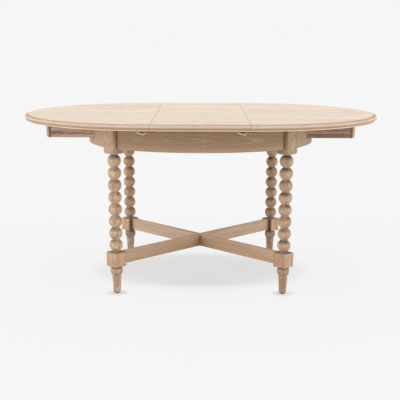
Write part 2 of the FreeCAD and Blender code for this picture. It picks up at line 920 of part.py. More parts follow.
# Aprons
segment, segment_tenons = apron_segment()
corner_holes = [leg_to_place(wood_screw(place, direction, brace_screw_length, glue_gap / 2), angle)
                for angle in (225, 315) for place, direction in brace_screw_places()]
plain_segment = join([segment] + segment_tenons).cut(corner_holes)
front_apron = plain_segment.cut(bearer_housings())
write("front_apron", front_apron)
write("rear_apron", turned_about_z(front_apron, 180))
left_apron = turned_about_z(plain_segment, -90).cut([notch(FRONT), notch(REAR)])
write("left_apron", left_apron)
write("right_apron", turned_about_z(left_apron, 180))

# Stretcher bars, halved over each other
half_span = leg_radius - half_block
bar = join([box((-half_span, half_span), (-stretcher_thickness / 2, stretcher_thickness / 2),
                (stretcher_bottom, stretcher_top)),
            moved(stretcher_tenon(0), vec(leg_radius, 0, 0)),
            turned_about_z(moved(stretcher_tenon(0), vec(leg_radius, 0, 0)), 180)])
lap_half = stretcher_thickness / 2 + glue_gap
lap_middle = (stretcher_top + stretcher_bottom) / 2
upper_lap = box((-lap_half, lap_half), (-stretcher_thickness, stretcher_thickness),
                (lap_middle - glue_gap / 2, stretcher_top + cut_past))
lower_lap = box((-lap_half, lap_half), (-stretcher_thickness, stretcher_thickness),
                (stretcher_bottom - cut_past, lap_middle + glue_gap / 2))
lap_screw_place = [(vec(0, 0, stretcher_bottom), vec(0, 0, 1))]
low_bar = turned_about_z(bar.cut(upper_lap), leg_angles()["rear_right"])
high_bar = turned_about_z(bar.cut(lower_lap), leg_angles()["rear_left"])
lap_screws, lapped = screwed([low_bar, high_bar], lap_screw_place, lap_screw_length)
base_screws += lap_screws
write("front_left_to_rear_right_stretcher", lapped[0])
write("front_right_to_rear_left_stretcher", lapped[1])

# Guide rails with their tongues, on two cross bearers
tongue_screws, railed = screwed([guide_rail(), tongue()], tongue_screw_places(), tongue_screw_length)
left_bearer_screws, left_bearer_cut = screwed([bearer()], bearer_screw_places(LEFT), bearer_screw_length)
right_bearer_screws = [turned_about_z(screw, 180) for screw in left_bearer_screws]
rail_holes = [wood_screw(place, direction, bearer_screw_length, glue_gap / 2)
              for side in (LEFT, RIGHT) for place, direction in bearer_screw_places(side)]
rail_piece = railed[0].cut(rail_holes)
for side, name in ((FRONT, "front"), (REAR, "rear")):
    write(name + "_guide_rail", on_y_side(rail_piece, side))
    write(name + "_rail_tongue", on_y_side(railed[1], side))
    base_screws += [on_y_side(screw, side) for screw in tongue_screws]
write("left_cross_bearer", left_bearer_cut[0])
write("right_cross_bearer", turned_about_z(left_bearer_cut[0], 180))
base_screws += left_bearer_screws + right_bearer_screws
write("base_screws", group(base_screws))

# Everything that slides with the left half, drawn at the front and mirrored to the rear
half_screws = []
runner_screws, runner_cut = screwed([runner_on_left(), half_panel()], runner_screw_places(),
                                    runner_screw_length)
stop_screws, stop_cut = screwed([stop_block_on_left(), runner_cut[0]], stop_screw_place(),
                                stop_screw_length)
front_runner = stop_cut[1].cut(runner_screw_bores())
stop_block = stop_cut[0]
cap = cap_on_left()
panel_holes = [mirrored_y(wood_screw(place, direction, runner_screw_length, glue_gap / 2))
               for place, direction in runner_screw_places()]
panel = runner_cut[1].cut(panel_holes)
for screw in runner_screws + stop_screws:
    half_screws += [screw, mirrored_y(screw)]

half_battens = {}
spread = [-half_batten_screw_spread, 0, half_batten_screw_spread]
for name, middle in (("inner", inner_batten_middle), ("outer", outer_batten_middle)):
    blank = batten(-middle, runner_inner_face)
    screws, cut_pieces = screwed([blank, panel], batten_screw_places(-middle, spread), batten_screw_length)
    half_battens[name] = cut_pieces[0]
    panel = cut_pieces[1]
    half_screws += screws

# Catches: plates and keepers are let against the underside, and their screws hold them
plate = catch_plate()
keeper = keeper_plate()
lever = catch_lever()
screw_y = -catch_from_middle
plate_screws = [small_screw(x, screw_y, plate_thickness) for x in plate_screw_places()]
plate_holes = [small_screw(x, screw_y, plate_thickness, glue_gap / 2) for x in plate_screw_places()]
keeper_screws = [small_screw(x, screw_y, plate_thickness) for x in keeper_screw_places()]
keeper_holes = [small_screw(x, screw_y, plate_thickness, glue_gap / 2) for x in keeper_screw_places()]
plate = plate.cut(plate_holes)
keeper = keeper.cut(keeper_holes)


def both_sides(solids, seam_x):
    """Catch pieces at a seam, at the front and mirrored at the rear."""
    at_seam = [moved(solid, vec(seam_x, 0, 0)) for solid in solids]
    return at_seam + [mirrored_y(solid) for solid in at_seam]


left_seam = -travel
right_seam = travel
half_seam_x = -travel - seam_gap / 2
leaf_edge = travel - seam_gap / 2

left_panel = panel.cut(both_sides(plate_holes, left_seam)).cut(dowel_sockets(half_seam_x))
write("left_top_panel", left_panel)
right_panel = turned_about_z(panel, 180)
right_panel = right_panel.cut(both_sides(keeper_holes, right_seam)).cut(dowel_holes(-half_seam_x))
write("right_top_panel", right_panel)

left_side = {
    "front_runner": front_runner,
    "rear_runner": mirrored_y(front_runner),
    "front_end_cap": cap,
    "rear_end_cap": mirrored_y(cap),
    "inner_batten": half_battens["inner"],
    "outer_batten": half_battens["outer"],
    "stop_blocks": group([stop_block, mirrored_y(stop_block)]),
    "half_screws": group(half_screws),
}
for name, shape in left_side.items():
    write("left_" + name, shape)
    write("right_" + name, shape.mirror(ORIGIN, vec(1, 0, 0)))
write("left_dowels", group([dowel(half_seam_x, y) for y in dowel_places()]))

# Leaf
leaf = leaf_panel()
leaf_screws = []
steps_each_way = int(leaf_batten_half_length / leaf_batten_screw_pitch)
leaf_rows = [step * leaf_batten_screw_pitch for step in range(-steps_each_way, steps_each_way + 1)]
for name, middle_x in (("left", -leaf_batten_from_middle), ("right", leaf_batten_from_middle)):
    blank = batten(middle_x, leaf_batten_half_length)
    screws, cut_pieces = screwed([blank, leaf], batten_screw_places(middle_x, leaf_rows),
                                 batten_screw_length)
    write("leaf_" + name + "_batten", cut_pieces[0])
    leaf = cut_pieces[1]
    leaf_screws += screws
leaf = leaf.cut(dowel_holes(-leaf_edge)).cut(dowel_sockets(leaf_edge))
leaf = leaf.cut(both_sides(keeper_holes, left_seam) + both_sides(plate_holes, right_seam))
write("leaf_panel", leaf)
write("leaf_screws", group(leaf_screws))
write("leaf_dowels", group([dowel(leaf_edge, y) for y in dowel_places()]))

# Catch hardware
write("left_catch_plates", group(both_sides([plate], left_seam)))
write("leaf_catch_plates", group(both_sides([plate], right_seam)))
write("leaf_keepers", group(both_sides([keeper], left_seam)))
write("right_keepers", group(both_sides([keeper], right_seam)))
write("left_catch_screws", group(both_sides(plate_screws, left_seam)))
write("leaf_catch_screws", group(both_sides(keeper_screws, left_seam) + both_sides(plate_screws, right_seam)))
write("right_catch_screws", group(both_sides(keeper_screws, right_seam)))
for name, seam in (("left", left_seam), ("right", right_seam)):
    front_lever, rear_lever = both_sides([lever], seam)
    write("front_" + name + "_catch_lever", front_lever)
    write("rear_" + name + "_catch_lever", rear_lever)
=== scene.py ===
from math import cos, pi, radians, sin, sqrt

import bmesh
import bpy
from mathutils import Matrix, Vector

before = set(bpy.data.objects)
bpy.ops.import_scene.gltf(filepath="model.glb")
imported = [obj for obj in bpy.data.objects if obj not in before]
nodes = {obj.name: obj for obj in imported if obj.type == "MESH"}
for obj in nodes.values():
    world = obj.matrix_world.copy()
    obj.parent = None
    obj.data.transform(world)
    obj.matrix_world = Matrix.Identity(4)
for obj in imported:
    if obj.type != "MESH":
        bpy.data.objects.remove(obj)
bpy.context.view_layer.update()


# Camera. A long lens in front of the table and a little above its top, looking down 16 degrees,
# with the lens shifted so that the table stands in the middle of the picture.
camera_place = (0.0031, -3.899, 1.0844)
look_down = radians(16.1)
look_aside = radians(-0.414)
tilt = radians(0.152)
camera_data = bpy.data.cameras.new("camera")
camera_data.lens = 74.925
camera_data.sensor_width = 36.0
camera_data.shift_x = 0.0132
camera_data.shift_y = 0.1979
camera = bpy.data.objects.new("camera", camera_data)
bpy.context.scene.collection.objects.link(camera)
bpy.context.scene.camera = camera
level = cos(look_down)
forward = Vector((sin(look_aside) * level, cos(look_aside) * level, -sin(look_down)))
level_right = Vector((cos(look_aside), -sin(look_aside), 0.0))
level_up = level_right.cross(forward)
right = level_right * cos(tilt) + level_up * sin(tilt)
up = level_up * cos(tilt) - level_right * sin(tilt)
turn = Matrix((right, up, -forward)).transposed()
camera.matrix_world = Matrix.Translation(camera_place) @ turn.to_4x4()


# Floor. A seamless pale studio floor that runs on into the backdrop. The camera sees part of it as
# plain paper, so that the table's shadow stays soft and light; that share is smaller between the
# legs and close to the feet, where the shadow gathers.
def feed(tree, socket, value):
    """Gives an input a number, a colour or another node's output."""
    if isinstance(value, bpy.types.NodeSocket):
        tree.links.new(value, socket)
    else:
        socket.default_value = value


def node(tree, kind, inputs=(), **settings):
    """Adds a node to a tree, sets it up and feeds its inputs, which go by name or number."""
    made = tree.nodes.new(kind)
    for name, value in settings.items():
        setattr(made, name, value)
    for name, value in dict(inputs).items():
        feed(tree, made.inputs[name], value)
    return made


def reckon(tree, operation, *values):
    """Math node on one to three values."""
    return node(tree, "ShaderNodeMath", enumerate(values), operation=operation).outputs[0]


def times(tree, first, *others):
    """Product of values."""
    for other in others:
        first = reckon(tree, "MULTIPLY", first, other)
    return first


def move(tree, operation, *values):
    """Vector math node."""
    return node(tree, "ShaderNodeVectorMath", enumerate(values), operation=operation).outputs[0]


def above(tree, value, edge, least=0.0, most=1.0):
    """Smooth step from least, under the edge's lower value, to most, over its higher one."""
    return node(tree, "ShaderNodeMapRange",
                {"Value": value, "From Min": edge[0], "From Max": edge[1], "To Min": least, "To Max": most},
                interpolation_type="SMOOTHSTEP").outputs[0]


def below(tree, value, edge, least=0.0, most=1.0):
    """Smooth step from least, over the edge's higher value, to most, under its lower one."""
    return above(tree, value, (edge[1], edge[0]), least, most)


floor_half_width = 60.0
paper_grey = (0.921, 0.921, 0.921, 1.0)
floor_grey = (0.780, 0.780, 0.780, 1.0)
paper_glow = 1.02
paper_share = 0.90
shadow_middle = (0.0, 0.03, 0.0)
shadow_squeeze = (0.78, 1.22, 0.0)
shadow_radius = (0.28, 0.46)
shadow_paper_share = 0.62
leg_from_middle = 0.366
foot_place = (leg_from_middle, leg_from_middle, 0.0)
foot_shadow_radius = (0.014, 0.060)
foot_paper_share = 0.45
floor_mesh = bpy.data.meshes.new("studio_floor")
shape = bmesh.new()
bmesh.ops.create_grid(shape, x_segments=8, y_segments=8, size=floor_half_width)
shape.to_mesh(floor_mesh)
shape.free()
floor = bpy.data.objects.new("studio_floor", floor_mesh)
bpy.context.scene.collection.objects.link(floor)
floor_paint = bpy.data.materials.new("studio_floor")
floor_paint.use_nodes = True
tree = floor_paint.node_tree
tree.nodes.clear()
matt = node(tree, "ShaderNodeBsdfDiffuse", {"Color": floor_grey})
paper = node(tree, "ShaderNodeEmission", {"Color": paper_grey, "Strength": paper_glow})
seen = node(tree, "ShaderNodeLightPath").outputs["Is Camera Ray"]
spot = node(tree, "ShaderNodeTexCoord").outputs["Object"]
between_legs = move(tree, "MULTIPLY", move(tree, "SUBTRACT", spot, shadow_middle), shadow_squeeze)
quarter = move(tree, "ABSOLUTE", spot)
shares = []
for place, middle, radius, share in ((between_legs, (0.0, 0.0, 0.0), shadow_radius, shadow_paper_share),
                                     (quarter, foot_place, foot_shadow_radius, foot_paper_share)):
    away = node(tree, "ShaderNodeVectorMath", {0: place, 1: middle}, operation="DISTANCE").outputs["Value"]
    shares.append(above(tree, away, radius, share, paper_share))
share = times(tree, seen, reckon(tree, "MINIMUM", *shares))
mixed = node(tree, "ShaderNodeMixShader", {0: share, 1: matt.outputs[0], 2: paper.outputs[0]})
node(tree, "ShaderNodeOutputMaterial", {"Surface": mixed.outputs[0]})
floor_mesh.materials.append(floor_paint)


# Light. An even white room, a wide soft lamp overhead and one softer lamp at each side; together
# they light a level surface at the strength at which a colour shows as it is written.
room_strength = 0.12
lamp_plan = {
    "overhead_lamp": {"share": 0.58, "height": 88.0, "bearing": -90.0, "spread": 100.0},
    "left_lamp": {"share": 0.59, "height": 14.0, "bearing": -161.0, "spread": 50.0},
    "right_lamp": {"share": 0.56, "height": 14.0, "bearing": -19.0, "spread": 50.0},
}
room = bpy.data.worlds.new("studio_room")
bpy.context.scene.world = room
room.use_nodes = True
tree = room.node_tree
tree.nodes.clear()
light_path = node(tree, "ShaderNodeLightPath")
seen = light_path.outputs["Is Camera Ray"]
for kind in ("Is Transmission Ray", "Is Glossy Ray"):
    seen = reckon(tree, "MAXIMUM", seen, light_path.outputs[kind])
glow = node(tree, "ShaderNodeBackground", {"Color": (1.0, 1.0, 1.0, 1.0), "Strength": room_strength})
backdrop = node(tree, "ShaderNodeBackground", {"Color": paper_grey, "Strength": 1.0})
mixed = node(tree, "ShaderNodeMixShader", {0: seen, 1: glow.outputs[0], 2: backdrop.outputs[0]})
node(tree, "ShaderNodeOutputWorld", {"Surface": mixed.outputs[0]})
for name, plan in lamp_plan.items():
    lamp_data = bpy.data.lights.new(name, "SUN")
    lamp_data.energy = plan["share"] * pi
    lamp_data.angle = radians(plan["spread"])
    lamp = bpy.data.objects.new(name, lamp_data)
    bpy.context.scene.collection.objects.link(lamp)
    height = radians(plan["height"])
    bearing = radians(plan["bearing"])
    towards = Vector((cos(height) * cos(bearing), cos(height) * sin(bearing), sin(height)))
    lamp.rotation_mode = "QUATERNION"
    lamp.rotation_quaternion = towards.to_track_quat("Z", "Y")
bpy.context.scene.view_settings.view_transform = "Standard"


# Legs. Each is turned from one square of pale hardwood: eight balls between two square blocks,
# then a ball and a tapered foot, limed so that pale wax stays in the pores, with painted shade in
# dark brown in the necks. The squares came from different logs; the right and rear legs are redder
# and darker, partly their wood's tone and partly painted shade.
def plus(tree, first, second):
    return reckon(tree, "ADD", first, second)


def minus(tree, first, second):
    return reckon(tree, "SUBTRACT", first, second)


def larger(tree, first, second):
    return reckon(tree, "MAXIMUM", first, second)


def add_share(tree, mask, share, value):
    """Adds a share of a mask to a value."""
    return reckon(tree, "MULTIPLY_ADD", mask, share, value)


def blend(tree, share, first, second):
    """Colour mix: the first colour at 0, the second at 1."""
    return node(tree, "ShaderNodeMix", {0: share, 6: first, 7: second},
                data_type="RGBA", clamp_factor=True).outputs[2]


def cloud(tree, place, steps, detail=2.0, roughness=0.5, seed=0.0):
    """Noise over a place in metres, with so many steps per metre each way."""
    return node(tree, "ShaderNodeTexNoise",
                {"Vector": move(tree, "MULTIPLY", place, steps), "Scale": 1.0, "Detail": detail,
                 "Roughness": roughness, "W": seed}, noise_dimensions="4D").outputs


def specks(tree, place, per_metre, detail):
    """Finer noise over a place, the same each way."""
    return node(tree, "ShaderNodeTexNoise",
                {"Vector": place, "Scale": per_metre, "Detail": detail}).outputs["Fac"]


def new_group(name, inputs, outputs):
    """Empty node group with its sockets: names with kinds and, for inputs, usual values."""
    tree = bpy.data.node_groups.new(name, "ShaderNodeTree")
    for socket, kind, value in inputs:
        made = tree.interface.new_socket(socket, in_out="INPUT", socket_type=kind)
        if value is not None:
            made.default_value = value
    for socket, kind in outputs:
        tree.interface.new_socket(socket, in_out="OUTPUT", socket_type=kind)
    given = tree.nodes.new("NodeGroupInput").outputs
    results = tree.nodes.new("NodeGroupOutput").inputs
    return tree, given, results


def place_group(tree, group, inputs):
    """Puts a node group in a material with its own values."""
    return node(tree, "ShaderNodeGroup", inputs, node_tree=group).outputs


# Wood grain, along X of the place it is given: growth rings round a heart outside the piece,
# streaks, fibres, and pores filled with lime.
ring_wander = 0.030
grain, given, results = new_group("wood grain", [
    ("Place", "NodeSocketVector", None),
    ("Light wood", "NodeSocketColor", (0.66, 0.48, 0.34, 1.0)),
    ("Dark wood", "NodeSocketColor", (0.40, 0.26, 0.17, 1.0)),
    ("Lime", "NodeSocketColor", (0.74, 0.67, 0.58, 1.0)),
    ("Blush", "NodeSocketColor", (0.760, 0.410, 0.270, 1.0)),
    ("Heart across", "NodeSocketFloat", 0.05),
    ("Heart depth", "NodeSocketFloat", 0.08),
    ("Ring width", "NodeSocketFloat", 0.006),
    ("Rings", "NodeSocketFloat", 0.5),
    ("Streaks", "NodeSocketFloat", 0.5),
    ("Pores", "NodeSocketFloat", 0.4),
    ("Mottle", "NodeSocketFloat", 0.0),
    ("Seed", "NodeSocketFloat", 0.0),
], [("Color", "NodeSocketColor"), ("Darkness", "NodeSocketFloat"), ("Height", "NodeSocketFloat")])
place = given["Place"]
seed = given["Seed"]
wander = cloud(grain, place, (1.6, 11.0, 11.0), 3.0, 0.5, seed)["Color"]
wander = move(grain, "SUBTRACT", wander, (0.5, 0.5, 0.5))
wander = node(grain, "ShaderNodeVectorMath", {0: wander, "Scale": ring_wander}, operation="SCALE").outputs[0]
warped = node(grain, "ShaderNodeSeparateXYZ", {0: move(grain, "ADD", place, wander)}).outputs
across = minus(grain, warped["Y"], given["Heart across"])
depth = minus(grain, warped["Z"], given["Heart depth"])
from_heart = reckon(grain, "SQRT", plus(grain, times(grain, across, across), times(grain, depth, depth)))
year = reckon(grain, "DIVIDE", from_heart, given["Ring width"])
uneven = node(grain, "ShaderNodeTexNoise", {"W": times(grain, year, 0.45), "Scale": 1.0, "Detail": 1.0},
              noise_dimensions="1D").outputs[0]
season = reckon(grain, "FRACT", plus(grain, year, times(grain, uneven, 2.2)))
late_wood = times(grain, above(grain, season, (0.25, 0.88)), above(grain, season, (0.90, 1.0), 1.0, 0.0))
early_wood = times(grain, above(grain, season, (0.0, 0.04)), below(grain, season, (0.06, 0.30)))
patch = cloud(grain, place, (1.1, 7.0, 7.0), 2.0, 0.5, seed)["Fac"]
streak = cloud(grain, place, (3.0, 110.0, 110.0), 4.0, 0.62, seed)["Fac"]
fibre = cloud(grain, place, (16.0, 900.0, 900.0), 2.0, 0.6, seed)["Fac"]
pore = cloud(grain, place, (42.0, 1150.0, 1150.0), 1.0, 0.5, seed)["Fac"]
mottle = cloud(grain, place, (30.0, 62.0, 62.0), 3.0, 0.62, seed)["Color"]
mottle = node(grain, "ShaderNodeSeparateColor", {0: mottle}).outputs
ring_part = times(grain, late_wood, given["Rings"], above(grain, patch, (0.30, 0.66), 0.35, 1.2))
streak_part = times(grain, above(grain, streak, (0.34, 0.72)), given["Streaks"])
fibre_part = times(grain, minus(grain, fibre, 0.5), 0.35)
patch_part = times(grain, above(grain, patch, (0.35, 0.70)), 0.16)
mottle_part = times(grain, above(grain, mottle["Red"], (0.40, 0.66)), given["Mottle"])
darkness = plus(grain, plus(grain, ring_part, streak_part),
                plus(grain, fibre_part, plus(grain, patch_part, mottle_part)))
darkness = node(grain, "ShaderNodeClamp", {0: darkness}).outputs[0]
blush = times(grain, above(grain, mottle["Blue"], (0.45, 0.68)), given["Mottle"], 1.6)
sap_colour = blend(grain, blush, given["Light wood"], given["Blush"])
wood_colour = blend(grain, darkness, sap_colour, given["Dark wood"])
pores = times(grain, above(grain, pore, (0.56, 0.70)), above(grain, late_wood, (0.1, 0.8), 1.0, 0.45))
packed = add_share(grain, early_wood, 0.45, pores)
haze = times(grain, above(grain, mottle["Green"], (0.46, 0.70)), given["Mottle"])
limed = blend(grain, add_share(grain, packed, given["Pores"], haze), wood_colour, given["Lime"])
relief = minus(grain, times(grain, fibre, 0.5), plus(grain, times(grain, late_wood, 0.25), pores))
feed(grain, results["Color"], limed)
feed(grain, results["Darkness"], darkness)
feed(grain, results["Height"], relief)

# Rubbing and painted shade: arrises rubbed through the wax, lime left in corners and hollows, painted
# shade in dark brown in the deepest of them, stronger where they face up, and any painted shade given in.
softened_arris = 0.0008
rubbed_arris = 0.003
hollow_reach = 0.024
rub_and_shade, given, results = new_group("rubbed edges and painted shade", [
    ("Color", "NodeSocketColor", (0.6, 0.45, 0.32, 1.0)),
    ("Rubbed wood", "NodeSocketColor", (0.50, 0.33, 0.21, 1.0)),
    ("Lime", "NodeSocketColor", (0.70, 0.63, 0.54, 1.0)),
    ("Painted shade colour", "NodeSocketColor", (0.130, 0.080, 0.045, 1.0)),
    ("Worn edges", "NodeSocketFloat", 0.5),
    ("Limed hollows", "NodeSocketFloat", 0.4),
    ("Painted hollow shade", "NodeSocketFloat", 0.0),
    ("Painted shade", "NodeSocketFloat", 0.0),
], [("Color", "NodeSocketColor"), ("Worn", "NodeSocketFloat"), ("Normal", "NodeSocketVector")])
soft = node(rub_and_shade, "ShaderNodeBevel", {"Radius": softened_arris}, samples=4).outputs[0]
rounded = node(rub_and_shade, "ShaderNodeBevel", {"Radius": rubbed_arris}, samples=4).outputs[0]
facing = node(rub_and_shade, "ShaderNodeNewGeometry").outputs["Normal"]
turned = node(rub_and_shade, "ShaderNodeVectorMath", {0: rounded, 1: facing}, operation="DOT_PRODUCT").outputs["Value"]
spots = specks(rub_and_shade, node(rub_and_shade, "ShaderNodeTexCoord").outputs["Object"], 55.0, 3.0)
open_air = node(rub_and_shade, "ShaderNodeAmbientOcclusion", {"Distance": hollow_reach}, samples=6).outputs["AO"]
worn = times(rub_and_shade, below(rub_and_shade, turned, (0.75, 0.97)), above(rub_and_shade, spots, (0.35, 0.62)), given["Worn edges"])
worn_colour = blend(rub_and_shade, worn, given["Color"], given["Rubbed wood"])
filled = times(rub_and_shade, below(rub_and_shade, open_air, (0.35, 0.80)), given["Limed hollows"])
limed = blend(rub_and_shade, filled, worn_colour, given["Lime"])
# Painted shade: the hollow mask, raised where the surface faces up, darkens to the shade colour.
facing_up = above(rub_and_shade, node(rub_and_shade, "ShaderNodeSeparateXYZ", {0: facing}).outputs["Z"], (-0.5, 0.6), 0.25, 1.0)
hollow_shade = times(rub_and_shade, times(rub_and_shade, below(rub_and_shade, open_air, (0.40, 0.88)), facing_up),
               times(rub_and_shade, above(rub_and_shade, spots, (0.25, 0.60), 0.55, 1.0), given["Painted hollow shade"]))
hollow_shade = larger(rub_and_shade, hollow_shade, given["Painted shade"])
feed(rub_and_shade, results["Color"], blend(rub_and_shade, hollow_shade, limed, given["Painted shade colour"]))
feed(rub_and_shade, results["Worn"], worn)
feed(rub_and_shade, results["Normal"], soft)


def new_material(name):
    """Material with a Principled shader, ready for its nodes."""
    made = bpy.data.materials.new(name)
    made.use_nodes = True
    tree = made.node_tree
    tree.nodes.clear()
    shader = node(tree, "ShaderNodeBsdfPrincipled")
    node(tree, "ShaderNodeOutputMaterial", {"Surface": shader.outputs[0]})
    return made, tree, shader.inputs


def dress(tree, surface, colour, roughness, height, strength, step, normal=None):
    """Gives a surface its colour, roughness and bump; the step is the bump's height in metres."""
    bump = {"Strength": strength, "Distance": step, "Height": height}
    if normal is not None:
        bump["Normal"] = normal
    feed(tree, surface["Base Color"], colour)
    feed(tree, surface["Roughness"], roughness)
    feed(tree, surface["Normal"], node(tree, "ShaderNodeBump", bump).outputs[0])


def waxed_wood(tree, surface, place, looks, rough=0.60):
    """Grain, rubbing and painted shade on a surface; returns the colour that they give it."""
    surface["Specular IOR Level"].default_value = 0.35
    rub_and_shade_names = ("Rubbed wood", "Worn edges", "Limed hollows", "Painted hollow shade", "Painted shade colour", "Painted shade")
    grained = place_group(tree, grain, {"Place": place} | {
        name: value for name, value in looks.items() if name not in rub_and_shade_names})
    rubbed_and_shaded = place_group(tree, rub_and_shade, {"Color": grained["Color"]} | {
        name: value for name, value in looks.items() if name in rub_and_shade_names})
    dull = above(tree, grained["Darkness"], (0.0, 1.0), rough + 0.07, rough - 0.05)
    dull = minus(tree, dull, times(tree, rubbed_and_shaded["Worn"], 0.12))
    dress(tree, surface, rubbed_and_shaded["Color"], dull, grained["Height"], 0.55, 0.0003, rubbed_and_shaded["Normal"])
    return rubbed_and_shaded["Color"]


def axes(tree):
    """X, Y and Z of the place on the table, in metres."""
    spot = node(tree, "ShaderNodeTexCoord").outputs["Object"]
    return node(tree, "ShaderNodeSeparateXYZ", {0: spot}).outputs


def place_from(tree, x, y, z):
    return node(tree, "ShaderNodeCombineXYZ", {0: x, 1: y, 2: z}).outputs[0]


def quarter_seed(tree, x, y):
    """A different number in each quarter of the table, so that like pieces differ in grain."""
    return plus(tree, reckon(tree, "SIGN", x), times(tree, reckon(tree, "SIGN", y), 2.0))


def finish_pieces(material, *names):
    """Gives CAD pieces their material."""
    for name in names:
        mesh = nodes[name].data
        mesh.materials.clear()
        mesh.materials.append(material)


base_wood = {
    "Light wood": (0.800, 0.545, 0.350, 1.0), "Dark wood": (0.420, 0.245, 0.140, 1.0),
    "Lime": (0.760, 0.650, 0.510, 1.0), "Rubbed wood": (0.520, 0.320, 0.190, 1.0),
}
pale_wood = (0.890, 0.620, 0.405, 1.0)
red_shaded_wood = (0.520, 0.290, 0.165, 1.0)
green_wood = (0.510, 0.400, 0.270, 1.0)
red_lime = (0.520, 0.290, 0.180, 1.0)
amber_lime = (0.680, 0.450, 0.290, 1.0)
# The legs' rubbed arrises: pale bare wood, partly a painted highlight along them.
pale_arris_and_highlight = (0.980, 0.760, 0.540, 1.0)
painted_shade_brown = (0.140, 0.082, 0.045, 1.0)

# The middle of the table, and the heights at which one part of a leg passes into the next.
mid_table = (-0.01, 0.01)
foot_top = (0.0770, 0.0800)
ankle_low = (0.0770, 0.0795)
ankle_high = (0.0865, 0.0890)
ankle_ball_low = (0.079, 0.083)
ankle_ball_high = (0.117, 0.125)
neck_low = (0.1150, 0.1185)
neck_high = (0.1250, 0.1262)
under_block = (0.118, 0.125)
block_low = (0.123, 0.125)
block_high = (0.188, 0.190)
first_ball = (0.184, 0.192)
balls_low = (0.180, 0.195)
balls_high = (0.612, 0.622)
top_block = (0.600, 0.618)
under_top = (0.698, 0.733)
first_ball_top = 0.6128
ball_pitch = 0.0525
leg_grain_slope = 0.12

leg_wood, tree, surface = new_material("limed_leg_wood")
x, y, z = axes(tree)
leg_x = minus(tree, reckon(tree, "ABSOLUTE", x), leg_from_middle)
leg_y = minus(tree, reckon(tree, "ABSOLUTE", y), leg_from_middle)
on_right = above(tree, x, mid_table)
on_left = below(tree, x, mid_table)
at_rear = above(tree, y, mid_table)
front_left = times(tree, on_left, below(tree, y, mid_table))
on_foot = below(tree, z, foot_top)
low_block = times(tree, below(tree, z, block_high), above(tree, z, block_low))
rear_block = times(tree, at_rear, low_block)
inner_face = times(tree, above(tree, minus(tree, leg_y, leg_x), (0.035, 0.040)), low_block)

# Redder and darker on the right, at the rear and on one face of each lower block: partly the wood's tone,
# partly painted shade on parts that face away from the lamps.
redder_and_shaded = add_share(tree, at_rear, 0.45, times(tree, on_right, 0.45))
redder_and_shaded = add_share(tree, on_foot, above(tree, x, mid_table, 0.30, 0.85), redder_and_shaded)
redder_and_shaded = add_share(tree, inner_face, above(tree, x, mid_table, 0.26, 0.62), redder_and_shaded)
redder_and_shaded = add_share(tree, rear_block, -0.45, redder_and_shaded)
paler = larger(tree, times(tree, front_left, above(tree, z, first_ball)), rear_block)
greener = times(tree, above(tree, z, top_block), above(tree, x, mid_table, 0.30, 0.85))
greener = add_share(tree, times(tree, below(tree, z, under_block), front_left), 0.35, greener)
sap_wood = blend(tree, paler, base_wood["Light wood"], pale_wood)
sap_wood = blend(tree, redder_and_shaded, sap_wood, red_shaded_wood)
sap_wood = blend(tree, greener, sap_wood, green_wood)
lime = blend(tree, times(tree, on_foot, on_right), base_wood["Lime"], red_lime)
lime = blend(tree, times(tree, low_block, below(tree, x, mid_table, 0.1, 0.6)), lime, amber_lime)

# Painted shade in dark brown on the balls' upper halves, in the neck, round the ankle's ball, under the
# top and on the lower blocks where they face the middle.
in_ball = reckon(tree, "DIVIDE", minus(tree, first_ball_top, z), ball_pitch)
ball_tops = times(tree, below(tree, reckon(tree, "FRACT", in_ball), (0.10, 0.42)),
                  above(tree, z, balls_low), below(tree, z, balls_high))
patchy = cloud(tree, place_from(tree, x, y, z), (38.0, 38.0, 38.0), 2.0, 0.5, 3.0)["Fac"]
leg_shade = times(tree, ball_tops, above(tree, patchy, (0.36, 0.60), 0.22, 0.78),
              above(tree, x, mid_table, 0.85, 1.20))
neck = times(tree, above(tree, z, neck_low), below(tree, z, neck_high, 0.0, 0.75))
leg_shade = larger(tree, leg_shade, neck)
ankle_ball = times(tree, above(tree, z, ankle_ball_low), below(tree, z, ankle_ball_high))
ankle_share = larger(tree, above(tree, x, mid_table, 0.0, 0.24), above(tree, y, mid_table, 0.0, 0.27))
leg_shade = larger(tree, leg_shade, times(tree, ankle_ball, ankle_share))
leg_shade = larger(tree, leg_shade, above(tree, z, under_top, 0.0, 0.20))
toward_middle = below(tree, plus(tree, leg_x, leg_y), (-0.041, -0.036), 0.0, 0.74)
leg_shade = larger(tree, leg_shade, times(tree, toward_middle, low_block))
ankle = times(tree, above(tree, z, ankle_low), below(tree, z, ankle_high))
leaning = add_share(tree, z, leg_grain_slope, leg_y)
waxed_wood(tree, surface, place_from(tree, z, leg_x, leaning), base_wood | {
    "Light wood": sap_wood, "Lime": lime, "Rubbed wood": pale_arris_and_highlight, "Painted shade colour": painted_shade_brown,
    "Heart across": 0.020, "Heart depth": 0.230, "Ring width": 0.0062, "Rings": 0.40, "Streaks": 0.42,
    "Pores": 0.5, "Mottle": below(tree, z, under_block, 0.45, 0.65), "Worn edges": 0.55,
    "Limed hollows": add_share(tree, ankle, 0.6, 0.15), "Painted hollow shade": add_share(tree, ankle, -0.9, 1.0),
    "Painted shade": leg_shade, "Seed": quarter_seed(tree, x, y)})
finish_pieces(leg_wood, "front_left_leg", "front_right_leg", "rear_left_leg", "rear_right_leg")


# Foot glides. Domed discs of brown plastic, each moulded round a nail that is driven into the foot's
# end grain; the floor has dulled them underneath.
glide_brown = (0.050, 0.034, 0.024, 1.0)
scuffed_brown = (0.16, 0.13, 0.11, 1.0)
glide_plastic, tree, surface = new_material("brown_glide_plastic")
x, y, z = axes(tree)
speck = specks(tree, place_from(tree, x, y, z), 900.0, 3.0)
scuffed = times(tree, below(tree, z, (0.0, 0.0012)), 0.4)
dress(tree, surface, blend(tree, scuffed, glide_brown, scuffed_brown),
      above(tree, speck, (0.3, 0.7), 0.42, 0.60), speck, 0.3, 0.0001)
finish_pieces(glide_plastic, "foot_glides")


